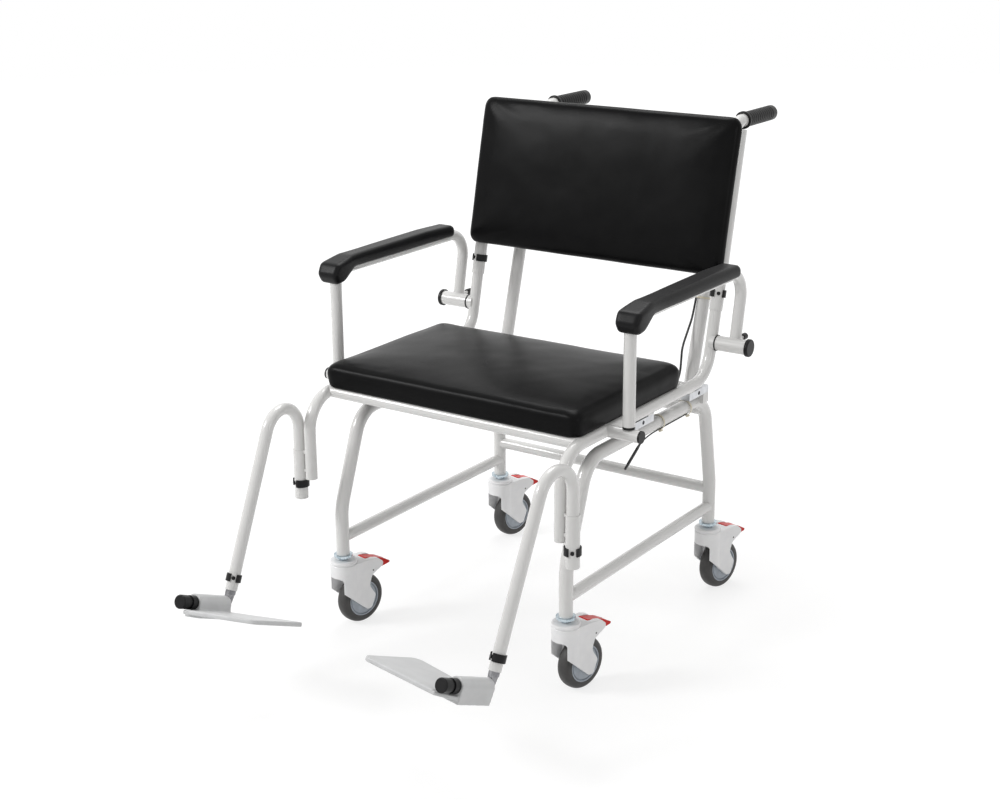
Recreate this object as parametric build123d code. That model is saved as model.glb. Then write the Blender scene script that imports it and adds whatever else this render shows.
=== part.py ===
from build123d import *
import os
from math import cos, radians, sin, tan

os.makedirs("parts", exist_ok=True)

# Driving dimensions, in millimetres and degrees
# Heights are above the floor, y runs to the back and is 0 midway between the front and rear legs
HEAVY = 25.4  # outside diameter of the leg arches, push posts and sleeves
LIGHT = 22.2  # outside diameter of the seat frame, rails and leg rest tubes
WALL = 2.0
RUN = 0.05  # radial clearance of a shaft or tube that turns or slides
WHEELBASE = 531.2
TRACK = 504.0
LEG_FOOT = 150.0  # lower end of the legs, on top of the castor washers
BASE_RAIL = 421.5  # axis height of the base's top rails
SEAT_RAIL = 472.0  # axis height of the seat frame
SEAT_TRACK = 550.0
SEAT_FRONT = -320.5
LEAN = 13.1  # backrest's lean from upright
WHEEL = 98.0
WHEEL_WIDTH = 28.0
TRAIL = 37.0
CASTOR_TURN = 12.0  # all four castors trail to the back and a little to the right
HANGER_X = 300.3
HANGER_Y = -322.0
TOE = 3.3  # leg rests point inward by this much
SHANK = 24.9  # leg rest shank's angle from upright
FOOT_PITCH = 23.8
FOOT_RISE = 5.5  # footplates' inner edges stand up by this much
ARM_X = 321.0
GRIP_END = 549.0
TOE_END = 672.5  # front end of the footplate knobs, in front of y = 0
FRONT_END = 677.7  # front edge of the footplates

half_base = WHEELBASE / 2
leg_x = TRACK / 2
seat_x = SEAT_TRACK / 2
to_centre = (FRONT_END - GRIP_END) / 2


# Shared helpers
def save(node, *solids):
    """Write one sub-part, moved so that the origin is on the floor under the middle of the outline."""
    body = solids[0] if len(solids) == 1 else Compound(children=list(solids))
    export_step(Pos(0, to_centre, 0) * body, f"parts/{node}.step")


def mirrored(shape):
    return mirror(shape, about=Plane.YZ)


def save_pair(node, right):
    save(f"{node}_right", right)
    save(f"{node}_left", mirrored(right))


def route(points, radii=()):
    """Straight runs joined by tangent arcs."""
    if radii:
        return FilletPolyline(*points, radius=list(radii))
    return Polyline(*points)


def rod(path, diameter):
    """Solid bar along a path."""
    return sweep(Plane(origin=path @ 0, z_dir=path % 0) * Circle(diameter / 2), path=path)


def tube(path, diameter, wall=WALL):
    """Hollow round tube along a path."""
    ring = Circle(diameter / 2) - Circle(diameter / 2 - wall)
    return sweep(Plane(origin=path @ 0, z_dir=path % 0) * ring, path=path)


def side_path(x, points, radii=()):
    """A path in an upright plane that runs front to back, from (y, z) points."""
    return route([(x, y, z) for y, z in points], radii)


def cross_bar(y, z, half_length):
    return route([(-half_length, y, z), (half_length, y, z)])


def disc(diameter, start, end):
    """Round bar along Z between two heights."""
    return Pos(0, 0, start) * Cylinder(diameter / 2, end - start, align=(Align.CENTER, Align.CENTER, Align.MIN))


def block(low, high):
    """Box between two opposite corners."""
    size = [b - a for a, b in zip(low, high)]
    middle = [(a + b) / 2 for a, b in zip(low, high)]
    return Pos(*middle) * Box(*size)


def c_clip(bore, height, gap):
    """Open spring clip about Z with its gap and snap button toward +X."""
    thick = 2.9
    outer = bore / 2 + thick
    opening = outer * tan(radians(gap / 2))
    wedge = make_face(Polyline((0, 0), (2 * outer, 2 * opening), (2 * outer, -2 * opening), close=True))
    ring = disc(2 * outer, -height / 2, height / 2) - disc(bore, -height, height)
    ring -= Pos(0, 0, -height) * extrude(wedge, 2 * height)
    button = Pos(bore / 2, 0, 0) * Rot(0, 90, 0) * disc(7, 0, thick)
    return [ring, button]


def pillow(width, height, thick, corner, edge, crown):
    """Cushion on the XY plane: drawn-in foot, round shoulders and a crowned top."""
    foot_inset = 4.0
    sections = [(foot_inset, 0), (foot_inset / 4, thick * 0.2), (0, thick * 0.5)]
    shoulder = thick - crown
    for step in range(5):
        turn = radians(22.5 * step)
        sections.append((edge * (1 - cos(turn)), shoulder - edge + edge * sin(turn)))
    reach = min(width, height) / 2 - corner - 1
    for step in (0.25, 0.5, 0.75, 1):
        inset = edge + (reach - edge) * step
        sections.append((inset, thick - crown * (1 - step) ** 2))
    sections = [s for i, s in enumerate(sections) if i == 0 or s[1] - sections[i - 1][1] > 0.2]
    faces = [
        Pos(0, 0, z) * RectangleRounded(width - 2 * inset, height - 2 * inset, corner) for inset, z in sections
    ]
    return loft(faces, ruled=True)


# Base frame
leg_bend = 120
shoulder_bend = 62
front_shoulder = -198.8
rear_shoulder = 231.8
arch_points = [
    (-half_base, LEG_FOOT),
    (-half_base, 243),
    (front_shoulder, BASE_RAIL),
    (rear_shoulder, BASE_RAIL),
    (half_base, 237),
    (half_base, LEG_FOOT),
]
arch_path = side_path(leg_x, arch_points, [leg_bend, shoulder_bend, shoulder_bend, leg_bend])
arch_rod = rod(arch_path, HEAVY)
low_rail = 184
rear_low = 221
rear_top_y = 226
rear_top_z = 398
mid_top_y = -20

cell_long = 75
cell_wide = 18
cell_low = 440.5
cell_high = 454.5
cell_x = (leg_x + seat_x) / 2
cell_starts = (-77, 134)
pad_long = 20


def cell_pad(start, low, high):
    """Welded block between a load cell's end and a tube."""
    return block((cell_x - cell_wide / 2, start, low), (cell_x + cell_wide / 2, start + pad_long, high))


def base_arch():
    """One bent side of the base: both legs, the top rail and the lower pads of two load cells."""
    front_pad = cell_pad(cell_starts[0], BASE_RAIL, cell_low)
    rear_pad = cell_pad(cell_starts[1] + cell_long - pad_long, BASE_RAIL, cell_low)
    pads = (front_pad + rear_pad) - arch_rod
    return tube(arch_path, HEAVY) + pads


def base_rails():
    """Straight tubes between the arches, cut to the round of the tube that each one meets."""
    arches = [arch_rod, mirrored(arch_rod)]
    side_rail = tube(side_path(leg_x, [(-half_base, low_rail), (half_base, low_rail)]), LIGHT) - arch_rod
    bars = [side_rail, mirrored(side_rail)]
    for y, z, diameter in (
        (half_base, rear_low, LIGHT),
        (rear_top_y, rear_top_z, HEAVY),
        (mid_top_y, BASE_RAIL, LIGHT),
    ):
        bar = tube(cross_bar(y, z, leg_x), diameter)
        for arch in arches:
            bar -= arch
        bars.append(bar)
    return bars


def load_cells():
    """Four weighing bars, each held at one end by the base and at the other by the seat."""
    bars = []
    for start in cell_starts:
        bar = block(
            (cell_x - cell_wide / 2, start, cell_low),
            (cell_x + cell_wide / 2, start + cell_long, cell_high),
        )
        slot = Pos(cell_x, start + cell_long / 2, (cell_low + cell_high) / 2) * Rot(0, 90, 0)
        bar -= slot * Cylinder(4, 2 * cell_wide)
        bars += [bar, mirrored(bar)]
    return bars


# Push posts and grips
post_x = 218
post_slope = 0.28
post_top = 927
post_bend = 62
grip_start = 424
grip_size = 30
grip_groove = 1.2
grip_cap = 4


def post_y(z):
    return 283 + post_slope * (z - 600)


post_path = side_path(
    post_x,
    [(post_y(rear_top_z), rear_top_z), (post_y(post_top), post_top), (GRIP_END - grip_cap, post_top)],
    [post_bend],
)
rear_top_rod = rod(cross_bar(rear_top_y, rear_top_z, leg_x), HEAVY)


def push_post():
    return tube(post_path, HEAVY) - rear_top_rod


def push_grip():
    """Ribbed grip with a closed end, pushed over the post's level end."""
    long = GRIP_END - grip_start
    body = disc(grip_size, 0, long) + disc(grip_size + 4, 0, 5)
    body -= disc(HEAVY, -1, long - grip_cap)
    groove_ring = disc(grip_size + 2, 0, 2.4) - disc(grip_size - 2 * grip_groove, -1, 4)
    for step in range(12):
        body -= Pos(0, 0, 14 + 8.2 * step) * groove_ring
    body = fillet(body.edges().filter_by(GeomType.CIRCLE).sort_by(Axis.Z)[-1], 1.5)
    return Pos(post_x, grip_start, post_top) * Rot(-90, 0, 0) * body


# Seat frame
socket_foot = 316
rail_bend = 65
back_bend = 62
upright_top = 880
slope = tan(radians(LEAN))
lean_y = 224
lean_z = 598


def upright_y(z):
    return lean_y + slope * (z - lean_z)


seat_path = side_path(
    seat_x,
    [
        (SEAT_FRONT, socket_foot),
        (SEAT_FRONT, SEAT_RAIL),
        (upright_y(SEAT_RAIL), SEAT_RAIL),
        (upright_y(upright_top), upright_top),
    ],
    [rail_bend, back_bend],
)
seat_rod = rod(seat_path, LIGHT)
pivot_y = 209.7
pivot_z = 539.5
pivot_boss = 286.7
sleeve_size = 28.6
sleeve_start = 289
sleeve_end = 351
pin_size = 16
stub_y = -177
stub_z = SEAT_RAIL + 1
stub_end = 344
hanger_low = 274
hanger_high = 370
web_heights = (328, 364)
web_tall = 6


def along_x(y, z, diameter, start, end):
    """Round bar along X between two x places."""
    return Pos(start, y, z) * Rot(0, 90, 0) * disc(diameter, 0, end - start)


def seat_rail():
    """Bent seat side with its armrest stub, armrest pin, leg rest sleeve and upper load cell pads."""
    bore = rod(seat_path, LIGHT - 2 * WALL)
    extras = along_x(stub_y, stub_z, LIGHT, seat_x, stub_end)
    extras += along_x(pivot_y, pivot_z, sleeve_size, seat_x, pivot_boss)
    extras += along_x(pivot_y, pivot_z, pin_size, seat_x, sleeve_end - 2)
    sleeve = Pos(HANGER_X, HANGER_Y, 0) * disc(HEAVY, hanger_low, hanger_high)
    for low in web_heights:
        extras += block((seat_x, HANGER_Y - 4, low), (HANGER_X, HANGER_Y + 4, low + web_tall))
    extras += sleeve
    extras += cell_pad(cell_starts[0] + cell_long - pad_long, cell_high, SEAT_RAIL)
    extras += cell_pad(cell_starts[1], cell_high, SEAT_RAIL)
    hanger_bore = Pos(HANGER_X, HANGER_Y, 0) * disc(LIGHT + 2 * RUN, 0, SEAT_RAIL)
    stub_bore = along_x(stub_y, stub_z, LIGHT - 2 * WALL, seat_x, stub_end + 1)
    return seat_rod + extras - bore - hanger_bore - stub_bore


def seat_cross_tubes():
    bars = []
    for y in (-260, 115):
        bar = tube(cross_bar(y, SEAT_RAIL, seat_x), LIGHT)
        for side in (seat_rod, mirrored(seat_rod)):
            bar -= side
        bars.append(bar)
    return bars


# Seat board and cushion
seat_wide = 556
seat_front = -273
seat_back = 96
cushion_foot = 483.8
cushion_thick = 53
board_inset = 12
board_low = SEAT_RAIL + LIGHT / 2 + 0.1
board_thick = 6.6
seat_deep = seat_back - seat_front
seat_middle = (seat_front + seat_back) / 2


def seat_board(grow=0.0):
    wide = seat_wide - 2 * board_inset + 2 * grow
    deep = seat_deep - 2 * board_inset + 2 * grow
    panel = extrude(RectangleRounded(wide, deep, 14), board_thick + grow)
    return Pos(0, seat_middle, board_low) * panel


def seat_cushion():
    slab = pillow(seat_wide, seat_deep, cushion_thick, 20, 17, 7)
    return Pos(0, seat_middle, cushion_foot) * slab - seat_board(0.1)


# Castors
axle_z = WHEEL / 2
cap_top = 139
stem_size = 12
nut_high = 146
cheek = 22.5
head_size = 52
mouth_half = 19.8
wheel_gap = WHEEL_WIDTH / 2 + 1.3
pedal_slot = 12
pedal_front = 44
pedal_pin = (53, 113)


def sideways(outline, half_width):
    """A side outline in (trail, height), made thick to both sides of the castor's middle plane."""
    face = make_face(Polyline(*outline, close=True))
    return extrude(Plane.YZ * face, half_width, both=True)


def castor_fork():
    """White fork: round head, two cheeks down to the axle, arms for the brake, a mouth over the tyre."""
    groove_low = 131
    groove_high = 133
    cheeks = sideways(
        [
            (-30, groove_low),
            (-30, 87.3),
            (36, 30),
            (47, 30),
            (58, 55),
            (43, 78),
            (51, 98),
            (71.5, 107.5),
            (78.5, 112),
            (77.5, 119),
            (68, 127),
            (58, 129.7),
            (34, groove_low),
        ],
        head_size / 2 + 2,
    )
    cheeks = fillet(cheeks.edges().filter_by(Axis.X).sort_by(Axis.Z)[:4], 5)
    seen_from_above = disc(head_size, 20, cap_top) + block((-cheek, 0, 20), (cheek, 90, cap_top))
    cap = disc(head_size + 1, groove_high - 0.5, cap_top)
    cap = fillet(cap.edges().filter_by(GeomType.CIRCLE).sort_by(Axis.Z)[-1], 3)
    body = (cheeks & seen_from_above) + disc(head_size - 3, groove_low - 1, groove_high) + cap
    mouth_top = 106
    mouth_shape = Polyline(
        (-mouth_half, 40), (mouth_half, 40), (mouth_half, mouth_top), (-mouth_half, mouth_top), close=True
    )
    mouth = make_face(mouth_shape)
    mouth = extrude(Plane.XZ * fillet(mouth.vertices().group_by(Axis.Y)[-1], 8), 40)
    wheel_room = Pos(0, TRAIL, axle_z) * Rot(0, 90, 0) * Cylinder(WHEEL / 2 + 3, 2 * wheel_gap)
    lever_room = block((-pedal_slot, pedal_front - 1.5, 70), (pedal_slot, 80, 150))
    body -= Pos(0, 12, 0) * mouth
    body -= wheel_room + lever_room
    body -= disc(stem_size + 2 * RUN, 118, 150)
    body += Pos(0, TRAIL, axle_z) * Rot(0, 90, 0) * Cylinder(4, 2 * cheek + 2)
    body += Pos(0, *pedal_pin) * Rot(0, 90, 0) * Cylinder(3, 2 * pedal_slot + 4)
    return body


def turned(shape):
    """A shape that was revolved about Z, laid on the wheel's axle."""
    return Pos(0, TRAIL, axle_z) * Rot(0, 90, 0) * shape


hub_size = 70


def castor_hub():
    """Grey wheel centre with a ring groove on both faces and the axle's running bore."""
    half = WHEEL_WIDTH / 2 - 1.5
    body = disc(hub_size, -half, half) + disc(26, -wheel_gap + 0.4, wheel_gap - 0.4)
    groove = disc(64, 0, 3) - disc(60, -1, 4)
    dish = disc(56, 0, 3) - disc(30, -1, 4)
    for side in (1, -1):
        place = Pos(0, 0, half - 1.8) if side > 0 else Pos(0, 0, -half - 1.2)
        body -= place * groove
        body -= place * dish
    return turned(body - disc(8 + 2 * RUN, -20, 20))


def castor_tyre():
    half = WHEEL_WIDTH / 2
    body = disc(WHEEL, -half, half)
    body = fillet(body.edges().filter_by(GeomType.CIRCLE), 10)
    return turned(body - disc(hub_size, -20, 20))


def brake_pedal():
    """Red rocking lever between the arms, with a toe that slopes down behind them."""
    body = sideways(
        [
            (pedal_front, 131.2),
            (62, 126.4),
            (82, 120.4),
            (105.5, 107.5),
            (104, 104.5),
            (86, 102),
            (80, 105),
            (50, 106),
            (pedal_front, 112),
        ],
        pedal_slot - 1,
    )
    return body - Pos(0, *pedal_pin) * Rot(0, 90, 0) * Cylinder(3 + RUN, 60)


def castor_bolt():
    """Zinc washer and nut with the stem that holds the fork in the leg."""
    nut = Pos(0, 0, cap_top + 1) * extrude(RegularPolygon(10.5, 6), nut_high - cap_top - 1)
    return disc(36, nut_high, LEG_FOOT) + nut + disc(stem_size, 120, LEG_FOOT + 30)


# Black fittings on the frame
def tube_fittings():
    """Stub end caps, sleeve clips and the push posts' foot bolts."""
    stub_cap = along_x(stub_y, stub_z, LIGHT, stub_end, stub_end + 4)
    stub_cap += along_x(stub_y, stub_z, LIGHT - 2 * WALL, stub_end - 12, stub_end)
    clip_z = 304.4
    clip = [Pos(HANGER_X, HANGER_Y, clip_z) * Rot(0, 0, -60) * piece for piece in c_clip(HEAVY, 14, 60)]
    bolt_z = 457
    bolt = along_x(post_y(bolt_z), bolt_z, 10, post_x + HEAVY / 2 - 0.2, post_x + HEAVY / 2 + 5)
    bolt -= rod(post_path, HEAVY)
    pieces = [stub_cap, bolt] + clip
    return pieces + [mirrored(piece) for piece in pieces]


# Backrest, in a plane that leans with the uprights: x across, y up the lean, z to the front
back_plane = Plane(
    origin=(0, lean_y, lean_z),
    x_dir=(1, 0, 0),
    z_dir=(0, -cos(radians(LEAN)), sin(radians(LEAN))),
)
sleeve_foot = 0.7
sleeve_head = 341
back_bars = (104.7, 310)
back_low = 64
back_high = 361
back_wide = 577
back_front = 46
back_rear = 13.6
back_middle = (back_low + back_high) / 2
back_board_rear = HEAVY / 2 + 0.3


def up_lean(x, start, end, diameter):
    """Round bar along the lean between two heights up it."""
    return back_plane * (Pos(x, start, 0) * Rot(-90, 0, 0) * disc(diameter, 0, end - start))


def back_frame():
    """Two sleeves with closed tops that slide on the uprights, joined by two bars."""
    body = up_lean(seat_x, sleeve_foot, sleeve_head, HEAVY)
    body += up_lean(-seat_x, sleeve_foot, sleeve_head, HEAVY)
    for height in back_bars:
        body += back_plane * (Pos(0, height, 0) * Rot(0, 90, 0) * Cylinder(9.5, 2 * seat_x))
    for side in (seat_x, -seat_x):
        body -= up_lean(side, -5, sleeve_head - 3, LIGHT + 2 * RUN)
    for height in back_bars:
        body -= back_plane * (Pos(0, height, 0) * Rot(0, 90, 0) * Cylinder(7.5, 2 * seat_x - HEAVY))
    return body


def back_board(grow=0.0):
    wide = back_wide - 2 * board_inset + 2 * grow
    tall = back_high - back_low - 2 * board_inset + 2 * grow
    panel = extrude(RectangleRounded(wide, tall, 14), board_thick + grow)
    return back_plane * (Pos(0, back_middle, back_board_rear) * panel)


def back_cushion():
    slab = pillow(back_wide, back_high - back_low, back_front - back_rear, 24, 18, 5)
    return back_plane * (Pos(0, back_middle, back_rear) * slab) - back_board(0.1)


def back_clips():
    clip_up = (630 - lean_z) / cos(radians(LEAN))
    place = back_plane * (Pos(seat_x, clip_up, 0) * Rot(-90, 0, 0) * Rot(0, 0, -60))
    pieces = [place * piece for piece in c_clip(HEAVY, 14, 70)]
    return pieces + [mirrored(piece) for piece in pieces]


# Armrests
arm_front = -176
arm_foot = 488.5
arm_top = 679
arm_front_bend = 28
arm_rear_bend = 45
rear_leg_slope = 0.2
rear_leg_offset = 6.8
arm_back = pivot_y + rear_leg_offset + rear_leg_slope * (arm_top - pivot_z)
arm_path = side_path(
    ARM_X,
    [(arm_front, arm_foot), (arm_front, arm_top), (arm_back, arm_top), (pivot_y + rear_leg_offset, pivot_z)],
    [arm_front_bend, arm_rear_bend],
)
pad_wide = 44
pad_outward = 3.5


def armrest_tube():
    """Bent tube, welded behind to a sleeve that turns on the frame's pin."""
    sleeve = along_x(pivot_y, pivot_z, sleeve_size, sleeve_start, sleeve_end)
    peg = Pos(ARM_X, pivot_y, pivot_z + 7) * Rot(-90, 0, 0) * disc(7, 10, 38)
    body = tube(arm_path, LIGHT) - sleeve + sleeve + peg
    return body - along_x(pivot_y, pivot_z, pin_size + 2 * RUN, sleeve_start - 1, sleeve_end + 1)


def armrest_pad():
    """Moulded pad with a rolled nose, let down over the tube."""
    outline = Polyline(
        (187, 679.5), (187, 704), (100, 706.5), (-140, 704.5), (-188, 694), (-198, 674), (-187, 655),
        (-166, 658), (-133, 679.5), close=True,
    )
    profile = make_face(outline)
    radii = {187: 9, 100: 120, -140: 50, -188: 12, -198: 9, -187: 9, -166: 20, -133: 16}
    for corner_y, radius in radii.items():
        corners = [v for v in profile.vertices() if abs(v.X - corner_y) < 0.01]
        profile = fillet(corners, radius)
    body = extrude(Plane.YZ * profile, pad_wide / 2, both=True)
    rims = body.edges().filter_by(lambda edge: abs(abs(edge.center().X) - pad_wide / 2) < 0.01)
    body = fillet(rims, 7)
    return Pos(ARM_X + pad_outward, 0, 0) * body - rod(arm_path, LIGHT)


def armrest_bushes():
    """Pivot cap and washer ring, bush under the front post, small buffer behind the sleeve."""
    cap = along_x(pivot_y, pivot_z, 34, sleeve_end, sleeve_end + 7)
    cap = fillet(cap.edges().filter_by(GeomType.CIRCLE).sort_by(Axis.X)[-1], 2.5)
    ring = along_x(pivot_y, pivot_z, 31, pivot_boss + 0.3, sleeve_start)
    ring -= along_x(pivot_y, pivot_z, pin_size + 2 * RUN, sleeve_start - 5, sleeve_start + 1)
    foot = Pos(ARM_X, arm_front, 0) * (
        disc(LIGHT, stub_z + LIGHT / 2 + 0.3, arm_foot) + disc(LIGHT - 2 * WALL - 0.1, arm_foot, arm_foot + 15)
    )
    buffer = Pos(ARM_X, pivot_y, pivot_z + 7) * Rot(-90, 0, 0) * disc(13, 38, 50)
    return Compound(children=[cap, ring, foot, buffer])


# Leg rests, in an upright plane turned inward: x forward, y up, z inward, from the sleeve's axis
toe_side = sin(radians(TOE))
toe_ahead = cos(radians(TOE))
leg_plane = Plane(
    origin=(HANGER_X, HANGER_Y, 0),
    x_dir=(-toe_side, -toe_ahead, 0),
    z_dir=(-toe_ahead, toe_side, 0),
)
hook_bend = 48.6
hook_start = 412
hook_corner = hook_start + hook_bend * tan(radians((180 - SHANK) / 2))
down_x = sin(radians(SHANK))
down_y = -cos(radians(SHANK))
clip_along = 490.5  # from the hook's corner point down the shank to the middle of the clip
shank_end = clip_along + 22
stem_end = clip_along + 30
stem_size_out = 19


def on_shank(along, across=0.0):
    """Point in the leg rest's plane, so far down the shank and so far across it to the front."""
    return (down_x * along - down_y * across, hook_corner + down_y * along + down_x * across)


def leg_path(points, radii=()):
    return route([leg_plane.from_local_coords((x, y, 0)) for x, y in points], radii)


def shank_bar(diameter, start, end):
    x, y = on_shank(start)
    bar = Plane(origin=(x, y, 0), z_dir=(down_x, down_y, 0)) * disc(diameter, 0, end - start)
    return leg_plane * bar


def hanger_tube():
    """Hooked leg rest tube: upright end in the frame's sleeve, shank with a bore for the stem."""
    path = leg_path([(0, hanger_low + 4), (0, hook_corner), on_shank(shank_end)], [hook_bend])
    wall = (LIGHT - stem_size_out) / 2 - RUN
    return tube(path, LIGHT, wall)


def foot_clip():
    x, y = on_shank(clip_along)
    place = leg_plane * Plane(origin=(x, y, 0), x_dir=(-down_y, down_x, 0), z_dir=(down_x, down_y, 0))
    return Compound(children=[place * Rot(0, 0, 35) * piece for piece in c_clip(LIGHT, 14, 50)])


# Footplates, about the knob's end: x forward along the hinge, y outward, z up
knob_x = (TOE_END + HANGER_Y) / toe_ahead
knob_y = 197.3
pitch_x = cos(radians(FOOT_PITCH))
pitch_y = sin(radians(FOOT_PITCH))
knob_long = 38
knob_size = 25
housing_rear = -126
housing_front = -knob_long - 0.4
housing_round = 16
shaft_size = 12
plate_low = -20
plate_high = -12


def hinge_plane(rise=0.0):
    """Plane at the knob's end whose x runs forward along the hinge and whose y runs outward."""
    upright = Plane(origin=(knob_x, knob_y, 0), x_dir=(pitch_x, pitch_y, 0), z_dir=(-pitch_y, pitch_x, 0))
    return leg_plane * upright * Rot(-rise, 0, 0)


def on_hinge(along, up):
    """Point of the leg rest's plane, from a place along the hinge and a height over it."""
    return (knob_x + pitch_x * along - pitch_y * up, knob_y + pitch_y * along + pitch_x * up)


def along_hinge(diameter, start, end):
    return Rot(0, 90, 0) * disc(diameter, start, end)


def footrest_stem():
    """Inner tube with a wedge plate at its foot, which carries the footplate's hinge shaft."""
    inner = shank_bar(stem_size_out, clip_along - 110, stem_end) - shank_bar(stem_size_out - 3, 300, stem_end)
    half = stem_size_out / 2 - 0.6
    outline = [
        on_shank(stem_end - 6, -half),
        on_shank(stem_end - 6, half),
        on_hinge(housing_rear - 1.5, 11),
        on_hinge(housing_rear - 1.5, -16),
        on_hinge(housing_rear - 8, -16),
    ]
    wedge = extrude(leg_plane * make_face(Polyline(*outline, close=True)), 5, both=True)
    shaft = hinge_plane() * along_hinge(shaft_size, housing_rear - 7, -4)
    return inner + wedge + shaft


def footplate():
    """Folding plate with the housing that turns on the hinge shaft."""
    outline = Polyline((-2, -9), (-1, -165), (-149, -166), (-123, 15), (-42, 15), (-24, 6), close=True)
    face = make_face(outline)
    inner = sorted(face.vertices(), key=lambda v: v.Y)[:2]
    face = fillet(inner, 16)
    slab = Pos(0, 0, plate_low) * extrude(face, plate_high - plate_low)
    slab = fillet(slab.edges().group_by(Axis.Z)[-1], 2)
    section = Rectangle(2 * housing_round, 26, align=(Align.CENTER, Align.MAX)) + Circle(housing_round)
    long = housing_front - housing_rear
    housing = Pos(housing_rear, 0, 0) * extrude(Plane.YZ * section, long)
    body = slab + housing - along_hinge(shaft_size + 2 * RUN, housing_rear - 20, 0)
    knob_room = knob_size / 2 + 1.1
    body -= block((housing_front, -knob_room, -knob_room), (5, knob_room, knob_room))
    return hinge_plane(FOOT_RISE) * body


def foot_knob():
    body = along_hinge(knob_size, -17, 0) + along_hinge(21, -24, -17) + along_hinge(knob_size, -knob_long, -24)
    body = fillet(body.edges().filter_by(GeomType.CIRCLE).sort_by(Axis.X)[-1], 2)
    return hinge_plane() * (body - along_hinge(shaft_size, -knob_long - 1, -4))


# Indicator, on a tilted plane behind the back: x to the operator's right, y up, z to the operator
screen_tilt = 20
bar_z = 800
bar_size = 19
bar_to_housing = 40
housing_wide = 232
housing_tall = 135
rear_deep = 22
front_deep = 23
shell = 2.5
face_bow = 7.5
side_bow = 3
key_wide = 14.5
key_tall = 17
key_pitch_x = 17.5
key_pitch_y = 19.2
key_first = (84.2, 20)
key_travel = 1.0
key_gap = 0.4
recess_deep = 1.5
screen_size = (108, 65)
screen_at = (-11.5, 0.4)
operator_plane = Plane(
    origin=(0, post_y(bar_z), bar_z),
    x_dir=(-1, 0, 0),
    z_dir=(0, cos(radians(screen_tilt)), sin(radians(screen_tilt))),
)


def housing_outline(inset):
    """Rounded face outline with bowed sides."""
    x = housing_wide / 2 - inset
    y = housing_tall / 2 - inset
    corner_x = x - side_bow
    corner_y = y - face_bow
    edges = [
        ThreePointArc((-corner_x, corner_y), (0, y), (corner_x, corner_y)),
        ThreePointArc((corner_x, corner_y), (x, 0), (corner_x, -corner_y)),
        ThreePointArc((corner_x, -corner_y), (0, -y), (-corner_x, -corner_y)),
        ThreePointArc((-corner_x, -corner_y), (-x, 0), (-corner_x, corner_y)),
    ]
    face = make_face(edges)
    return fillet(face.vertices(), 12 - inset)


def key_places():
    return [
        (key_first[0] + key_pitch_x * column, key_first[1] - key_pitch_y * row)
        for row in range(3)
        for column in range(2)
    ]


def indicator_rear():
    """Back half of the housing with the lug that tilts between the bracket's ears."""
    body = Pos(0, 0, bar_to_housing) * extrude(housing_outline(0), rear_deep)
    body = fillet(body.edges().group_by(Axis.Z)[0], 5)
    body -= Pos(0, 0, bar_to_housing + shell) * extrude(housing_outline(shell), rear_deep)
    lug = block((-20, -9, bar_to_housing - 14), (20, 9, bar_to_housing + 1))
    lug += Pos(0, 0, bar_to_housing - 14) * Rot(0, 90, 0) * Cylinder(9, 40)
    lug -= Pos(0, 0, bar_to_housing - 14) * Rot(0, 90, 0) * Cylinder(4 + RUN, 60)
    return operator_plane * (body + lug)


def indicator_front():
    """Front half of the housing, with the sunk frames of the screen and the keys."""
    low = bar_to_housing + rear_deep
    high = low + front_deep
    body = Pos(0, 0, low) * extrude(housing_outline(0), front_deep)
    body = fillet(body.edges().group_by(Axis.Z)[-1], 4)
    body -= Pos(0, 0, low - 1) * extrude(housing_outline(shell), front_deep + 1 - 2 * shell)
    body -= Pos(*screen_at, high - recess_deep) * extrude(RectangleRounded(121, 74, 4), 5)
    body -= Pos(*screen_at, low) * extrude(Rectangle(*screen_size), front_deep)
    body -= block((67, -37.5, high - recess_deep), (130, 38.5, high + 2))
    for x, y in key_places():
        opening = RectangleRounded(key_wide + 2 * key_gap, key_tall + 2 * key_gap, 2)
        body -= Pos(x, y, low) * extrude(opening, front_deep)
    return operator_plane * body


def indicator_screen():
    top = bar_to_housing + rear_deep + front_deep - recess_deep - 0.3
    return operator_plane * (Pos(*screen_at, top - 3) * extrude(Rectangle(*screen_size), 3))


def indicator_key(x, y):
    """One key cap with rounded corners, standing proud by more than its travel."""
    top = bar_to_housing + rear_deep + front_deep - recess_deep + key_travel + 0.5
    cap = Pos(x, y, top - 6) * extrude(RectangleRounded(key_wide, key_tall, 1.8), 6)
    cap = fillet(cap.edges().group_by(Axis.Z)[-1], 0.6)
    return operator_plane * cap


def indicator_bracket():
    """Bar between the push posts with a forked plate and the tilt bolt."""
    bar = tube(cross_bar(post_y(bar_z), bar_z, post_x), bar_size)
    for side in (1, -1):
        bar -= rod(post_path, HEAVY) if side > 0 else mirrored(rod(post_path, HEAVY))
    pivot = bar_to_housing - 14
    plate = block((-25, -12, bar_size / 2 - 1.5), (25, 12, bar_size / 2 + 3))
    fork = plate
    for side in (1, -1):
        ear = block((22.5, -10, bar_size / 2), (25, 10, pivot))
        ear += Pos(23.75, 0, pivot) * Rot(0, 90, 0) * Cylinder(10, 2.5)
        head = Pos(26.5, 0, pivot) * Rot(0, 90, 0) * Cylinder(7, 3)
        pair = ear + head
        fork += pair if side > 0 else mirrored(pair)
    fork += Pos(0, 0, pivot) * Rot(0, 90, 0) * Cylinder(4, 50)
    return bar + operator_plane * fork - rod(cross_bar(post_y(bar_z), bar_z, 60), bar_size - 2 * WALL)


# Cords and their ties
cable_size = 4.4
lead_size = 2.6
lead_x = 258
lead_z = 408.6


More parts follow.
